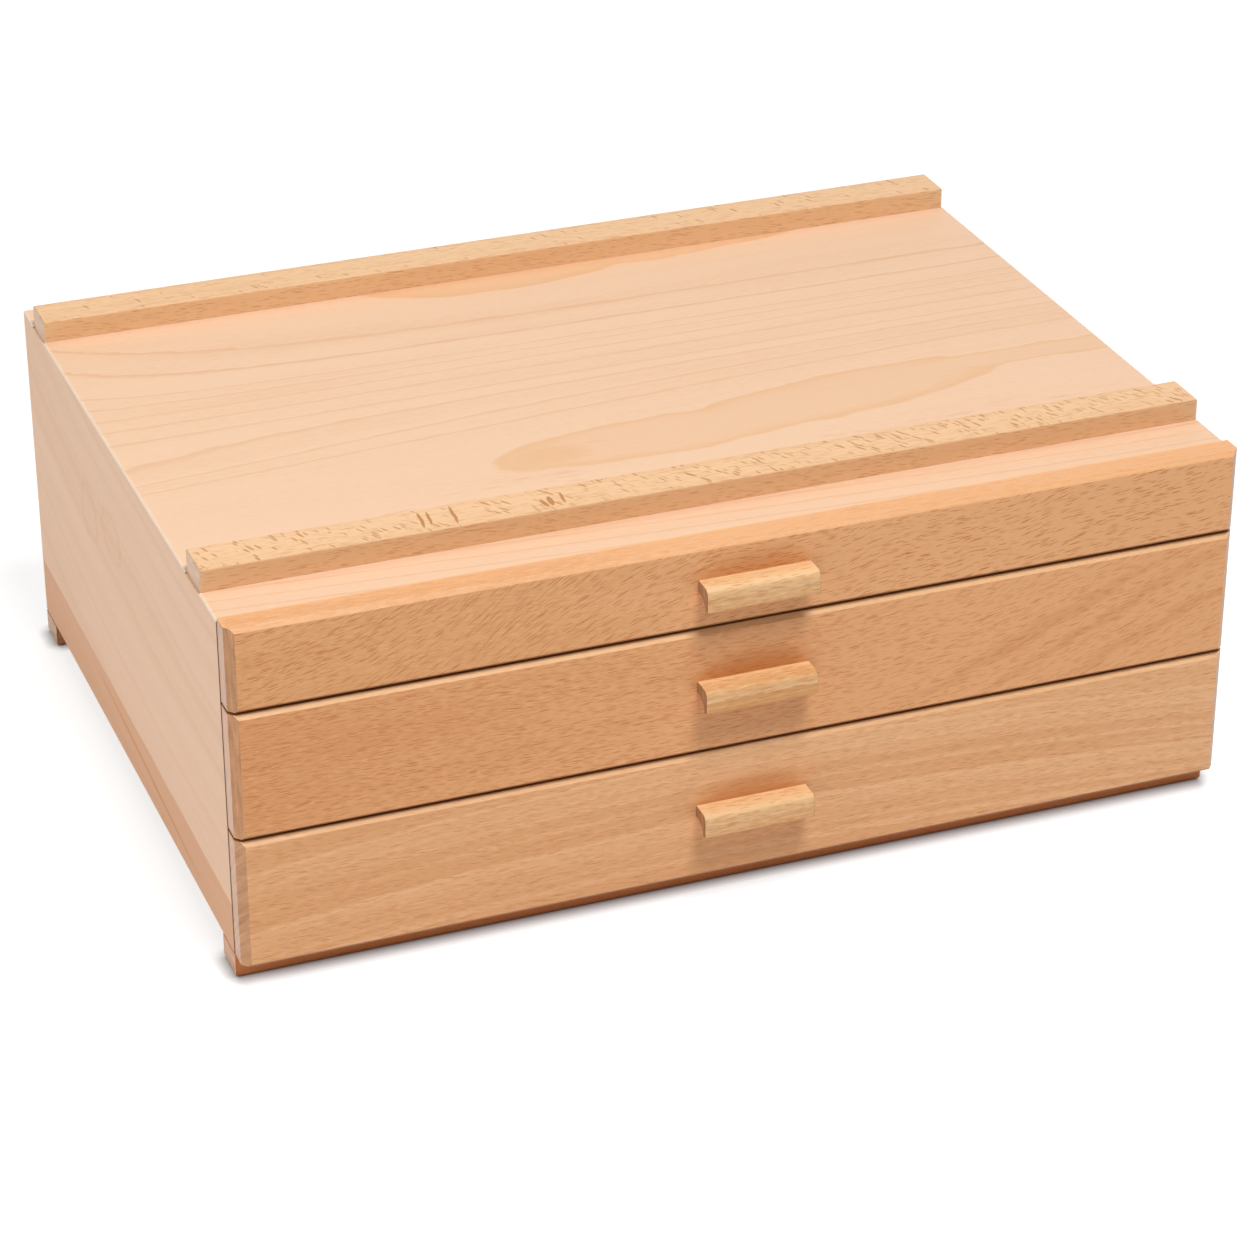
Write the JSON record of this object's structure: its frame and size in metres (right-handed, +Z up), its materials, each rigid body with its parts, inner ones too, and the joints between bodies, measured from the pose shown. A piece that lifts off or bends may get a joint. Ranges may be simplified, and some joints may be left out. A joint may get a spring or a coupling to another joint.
{
  "type": "desktop drawer organizer",
  "caption": "Low wooden desktop organizer with stacked sliding drawers, short bar pulls with finger coves, foot rails below and cleats on the top.",
  "frame": {"origin": "on the table, under the middle of the whole box with its pulls", "axes": "+X along the front to the right, +Y from the front to the back, +Z up"},
  "size_m": [0.4, 0.3096, 0.158],
  "materials": {
    "case_beech": "pale oiled beech",
    "rail_beech": "oiled beech, flecked",
    "front_beech": "warm oiled beech",
    "handle_beech": "oiled beech",
    "drawer_box_beech": "sanded beech",
    "plywood": "sanded thin plywood",
    "steel": "zinc-plated"
  },
  "bodies": {
    "case": {"top_board": "case_beech", "right_side_board": "case_beech", "bottom_board": "case_beech", "left_side_board": "case_beech", "mitre_splines": "drawer_box_beech", "back_panel": "plywood", "back_panel_brads": "steel", "front_cleat": "rail_beech", "rear_cleat": "rail_beech", "cleat_screws": "steel", "front_foot_rail": "rail_beech", "rear_foot_rail": "rail_beech", "foot_rail_screws": "steel", "runner_screws": "steel", "upper_left_runner": "drawer_box_beech", "upper_right_runner": "drawer_box_beech", "middle_left_runner": "drawer_box_beech", "middle_right_runner": "drawer_box_beech", "lower_left_runner": "drawer_box_beech", "lower_right_runner": "drawer_box_beech"},
    "upper_drawer": {"upper_drawer_front": "front_beech", "upper_drawer_left_side": "drawer_box_beech", "upper_drawer_right_side": "drawer_box_beech", "upper_drawer_back": "drawer_box_beech", "upper_drawer_bottom": "plywood", "upper_drawer_bottom_brads": "steel", "upper_drawer_handle": "handle_beech", "upper_drawer_handle_screws": "steel"},
    "middle_drawer": {"middle_drawer_front": "front_beech", "middle_drawer_left_side": "drawer_box_beech", "middle_drawer_right_side": "drawer_box_beech", "middle_drawer_back": "drawer_box_beech", "middle_drawer_bottom": "plywood", "middle_drawer_bottom_brads": "steel", "middle_drawer_handle": "handle_beech", "middle_drawer_handle_screws": "steel"},
    "lower_drawer": {"lower_drawer_front": "front_beech", "lower_drawer_left_side": "drawer_box_beech", "lower_drawer_right_side": "drawer_box_beech", "lower_drawer_back": "drawer_box_beech", "lower_drawer_bottom": "plywood", "lower_drawer_bottom_brads": "steel", "lower_drawer_handle": "handle_beech", "lower_drawer_handle_screws": "steel"}
  },
  "joints": [
    {"name": "upper_drawer_slide", "type": "slide", "parent": "case", "child": "upper_drawer", "axis": [0, -1, 0], "range_m": [0, 0.21]},
    {"name": "middle_drawer_slide", "type": "slide", "parent": "case", "child": "middle_drawer", "axis": [0, -1, 0], "range_m": [0, 0.21]},
    {"name": "lower_drawer_slide", "type": "slide", "parent": "case", "child": "lower_drawer", "axis": [0, -1, 0], "range_m": [0, 0.21]}
  ]
}
